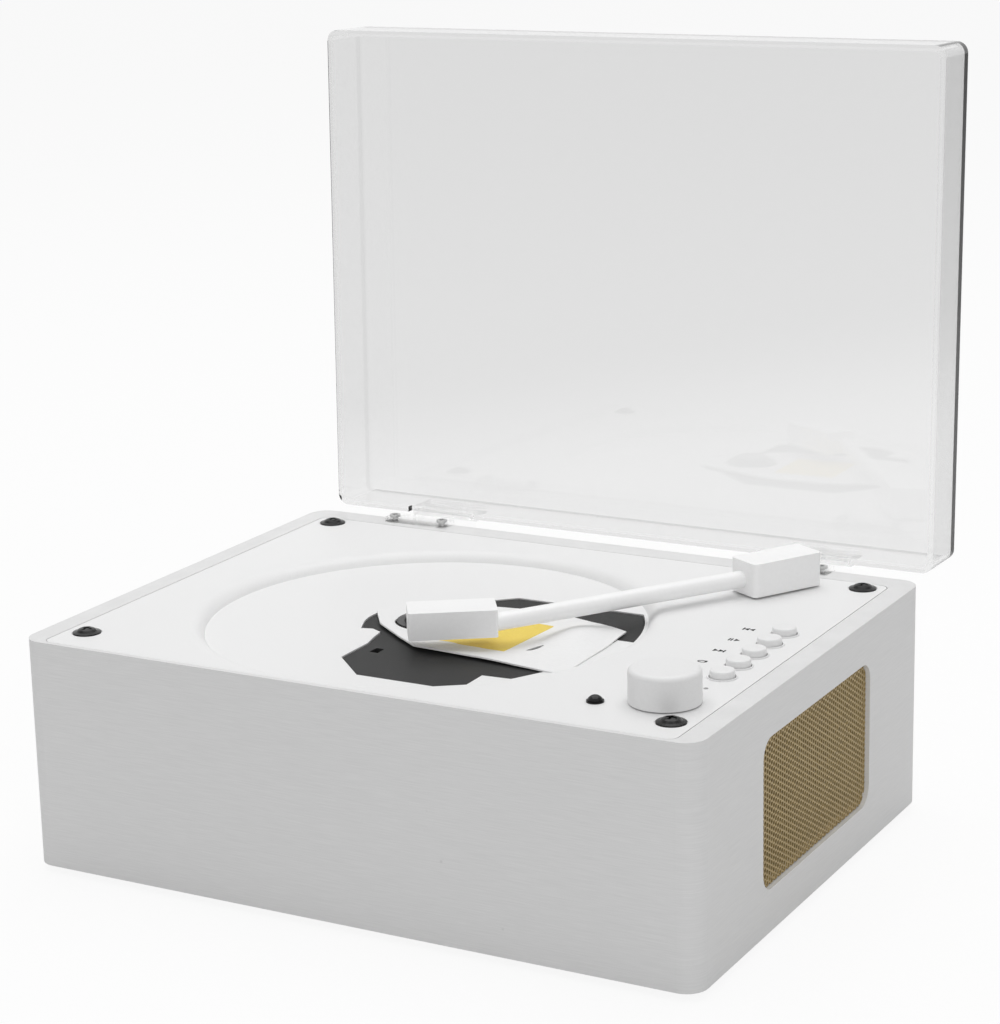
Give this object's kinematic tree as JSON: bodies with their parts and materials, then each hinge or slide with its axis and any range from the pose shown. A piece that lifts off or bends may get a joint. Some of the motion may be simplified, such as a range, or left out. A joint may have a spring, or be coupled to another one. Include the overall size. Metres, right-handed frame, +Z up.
{
  "type": "compact disc player",
  "caption": "Tabletop disc player in a white wooden case with an open clear dust cover, a disc well, a dummy tonearm, side speakers, push buttons and a volume knob",
  "frame": {"origin": "below the middle of the whole player with its cover open, on the surface that it stands on", "axes": "X to the right seen from the front, Y from front to back, Z up"},
  "size_m": [0.24, 0.219, 0.2573],
  "materials": {
    "white_case": "white foil on fibreboard with a faint grain along its length",
    "white_plastic": "satin white moulding",
    "softwood": "raw wood",
    "hardboard": "dark hardboard",
    "rubber_black": "matt black rubber",
    "black_screw": "black oxide steel",
    "steel_bright": "plated steel",
    "motor_steel": "pressed steel",
    "gold_mesh": "bronze-coloured perforated sheet",
    "basket_steel": "black pressed steel",
    "cone_paper": "black paper cone",
    "black_plastic": "charcoal moulded plastic",
    "board_green": "green circuit board",
    "nylon": "natural nylon",
    "lamp_grey": "dark lamp end",
    "lens_blue": "coated plastic lens",
    "card_white": "coated card",
    "clear_sheet": "clear acrylic"
  },
  "bodies": {
    "player": {"front_board": "white_case", "back_board": "white_case", "side_boards": "white_case", "corner_posts": "softwood", "bottom_board": "hardboard", "rubber_feet": "rubber_black", "wood_screws": "steel_bright", "top_panel": "white_plastic", "panel_screws": "black_screw", "side_grilles": "gold_mesh", "speaker_baffles": "hardboard", "speaker_baskets": "basket_steel", "speaker_cones": "cone_paper", "speaker_magnets": "motor_steel", "rear_socket_plate": "black_plastic", "rear_plate_screws": "black_screw", "power_inlet": "black_plastic", "line_out_socket": "black_plastic", "main_board": "board_green", "main_board_parts": "black_plastic", "board_spacers": "steel_bright", "control_board": "board_green", "control_board_screws": "steel_bright", "button_switches": "steel_bright", "encoder_body": "motor_steel", "encoder_nut": "steel_bright", "remote_receiver": "black_plastic", "status_lamp": "lamp_grey", "arm_pivot_post": "steel_bright", "arm_washer": "nylon", "drive_deck": "black_plastic", "deck_grommets": "rubber_black", "deck_screws": "steel_bright", "spindle_motor": "motor_steel", "guide_rods": "steel_bright", "feed_motor": "motor_steel", "lens_guard_card": "card_white", "hinge_bases": "clear_sheet", "hinge_base_screws": "steel_bright", "hinge_pins": "nylon"},
    "cover": {"dust_cover": "clear_sheet", "hinge_leaves": "clear_sheet"},
    "knob": {"volume_knob": "white_plastic", "encoder_shaft": "steel_bright"},
    "previous_key": {"button_previous": "white_plastic"},
    "play_key": {"button_play": "white_plastic"},
    "next_key": {"button_next": "white_plastic"},
    "mode_key": {"button_mode": "white_plastic"},
    "power_key": {"button_power": "white_plastic"},
    "arm": {"arm_pivot_block": "white_plastic", "arm_tube": "white_plastic", "arm_head_shell": "white_plastic"},
    "turntable": {"turntable_hub": "black_plastic", "disc_grip_balls": "steel_bright", "spindle_shaft": "steel_bright"},
    "sled": {"pickup_sled": "black_plastic", "pickup_lens": "lens_blue"},
    "feed_wheel": {"feed_gear": "nylon"},
    "feed_pinion": {"feed_motor_pinion": "nylon"}
  },
  "joints": [
    {"name": "cover_hinge", "type": "hinge", "parent": "player", "child": "cover", "pos_m": [0, 0.07651, 0.0727], "axis": [1, 0, 0], "range_deg": [0, 91.3]},
    {"name": "volume_turn", "type": "hinge", "parent": "player", "child": "knob", "pos_m": [0.0953, -0.07849, 0.0845], "axis": [0, 0, 1], "continuous": true},
    {"name": "power_press", "type": "slide", "parent": "player", "child": "power_key", "axis": [0, 0, -1], "range_m": [0, 0.0008], "stiffness_N_per_m": 250, "springref_m": -0.0004},
    {"name": "mode_press", "type": "slide", "parent": "player", "child": "mode_key", "axis": [0, 0, -1], "range_m": [0, 0.0008], "stiffness_N_per_m": 250, "springref_m": -0.0004},
    {"name": "next_press", "type": "slide", "parent": "player", "child": "next_key", "axis": [0, 0, -1], "range_m": [0, 0.0008], "stiffness_N_per_m": 250, "springref_m": -0.0004},
    {"name": "play_press", "type": "slide", "parent": "player", "child": "play_key", "axis": [0, 0, -1], "range_m": [0, 0.0008], "stiffness_N_per_m": 250, "springref_m": -0.0004},
    {"name": "previous_press", "type": "slide", "parent": "player", "child": "previous_key", "axis": [0, 0, -1], "range_m": [0, 0.0008], "stiffness_N_per_m": 250, "springref_m": -0.0004},
    {"name": "arm_swing", "type": "hinge", "parent": "player", "child": "arm", "pos_m": [0.0787, 0.04371, 0.0845], "axis": [0, 0, 1], "range_deg": [0, 22]},
    {"name": "spindle_turn", "type": "hinge", "parent": "player", "child": "turntable", "pos_m": [-0.0147, -0.02929, 0.0761], "axis": [0, 0, 1], "continuous": true},
    {"name": "sled_slide", "type": "slide", "parent": "player", "child": "sled", "axis": [1, 0, 0], "range_m": [0, 0.035]},
    {"name": "feed_wheel_turn", "type": "hinge", "parent": "player", "child": "feed_wheel", "pos_m": [0.0153, -0.05911, 0.0616], "axis": [0, 0, 1], "range_deg": [-477.5, 0]},
    {"name": "feed_pinion_turn", "type": "hinge", "parent": "player", "child": "feed_pinion", "pos_m": [0.0153, -0.07483, 0.0616], "axis": [0, 0, 1], "range_deg": [0, 1592]}
  ],
  "couplings": [
    {"joint": "feed_wheel_turn", "follows": "sled_slide", "rad_per_m": -238.1},
    {"joint": "feed_pinion_turn", "follows": "sled_slide", "rad_per_m": 793.65}
  ]
}
